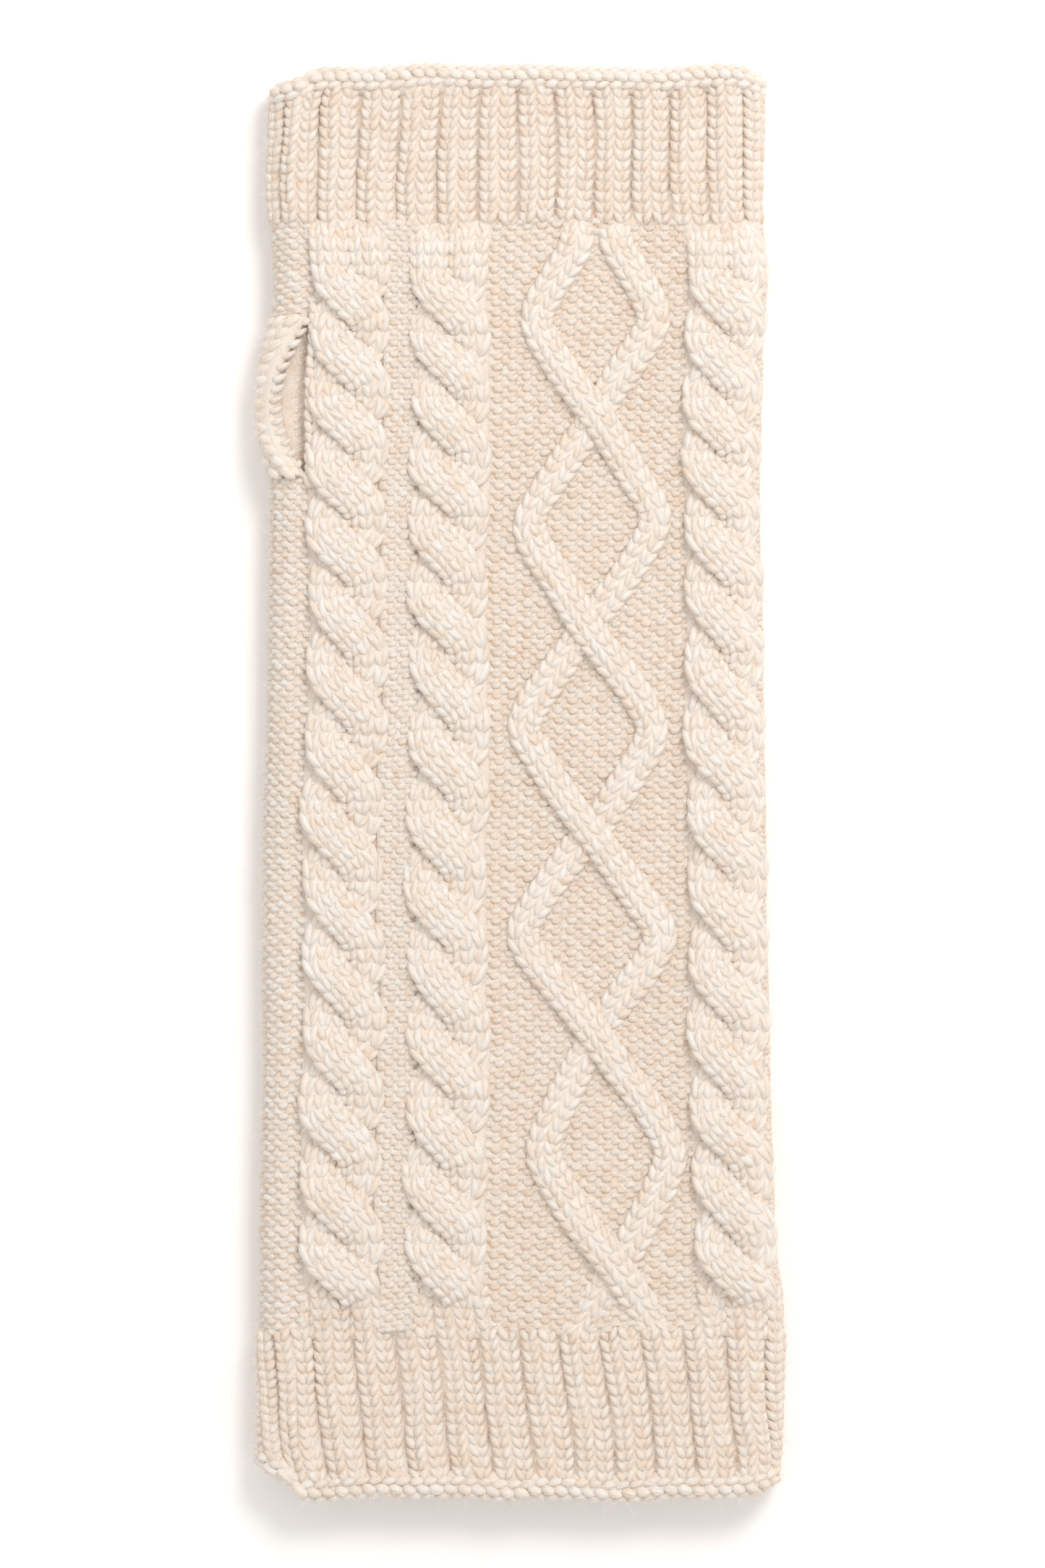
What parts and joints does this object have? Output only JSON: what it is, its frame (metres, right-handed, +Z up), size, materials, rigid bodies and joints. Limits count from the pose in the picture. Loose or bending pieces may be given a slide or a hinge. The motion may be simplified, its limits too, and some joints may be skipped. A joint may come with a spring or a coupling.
{
  "type": "fingerless glove",
  "caption": "Long cable-knit fingerless glove lying flat, with ribbed cuffs that fold back, rope and diamond cables, and a thumb opening in its side seam.",
  "frame": {"origin": "under the middle of the glove's length and width, on the surface it lies on", "axes": "+Y towards the finger end, +X across the glove with the thumb opening on -X, +Z up out of the cabled front"},
  "size_m": [0.1084, 0.3, 0.0158],
  "materials": {
    "ground_knit": "heathered cream wool, purl side out, fuzzy",
    "cable_knit": "heathered cream wool, raised cables, fuzzy",
    "palm_knit": "heathered cream wool, plain knitting, fuzzy",
    "ribbing": "heathered cream wool, ribbed, fuzzy",
    "thumb_edging": "heathered cream wool, long slanted stitches",
    "seam_yarn": "cream wool yarn, sunk in the seam"
  },
  "bodies": {
    "hand_tube": {"front_panel": "ground_knit", "palm_panel": "palm_knit", "right_fold": "ground_knit", "left_fold_upper": "ground_knit", "left_fold_lower": "ground_knit", "side_seam_upper": "seam_yarn", "side_seam_lower": "seam_yarn", "thumb_edge_palm": "thumb_edging", "thumb_edge_front": "thumb_edging", "rope_cable_left": "cable_knit", "rope_cable_centre": "cable_knit", "rope_cable_right": "cable_knit", "diamond_strand_left": "cable_knit", "diamond_strand_right": "cable_knit"},
    "finger_cuff": {"finger_rib_front": "ribbing", "finger_rib_right_fold": "ribbing", "finger_rib_left_fold": "ribbing", "finger_rib_palm": "ribbing", "finger_rib_seam": "seam_yarn", "bind_off_edge": "ribbing"},
    "forearm_cuff": {"forearm_rib_front": "ribbing", "forearm_rib_right_fold": "ribbing", "forearm_rib_left_fold": "ribbing", "forearm_rib_palm": "ribbing", "forearm_rib_seam": "seam_yarn", "cast_on_edge": "ribbing"}
  },
  "joints": [
    {"name": "finger_cuff_fold", "type": "hinge", "parent": "hand_tube", "child": "finger_cuff", "pos_m": [0, 0.118, 0.0162], "axis": [1, 0, 0], "range_deg": [0, 150]},
    {"name": "forearm_cuff_fold", "type": "hinge", "parent": "hand_tube", "child": "forearm_cuff", "pos_m": [0, -0.115, 0.0162], "axis": [-1, 0, 0], "range_deg": [0, 150]}
  ]
}
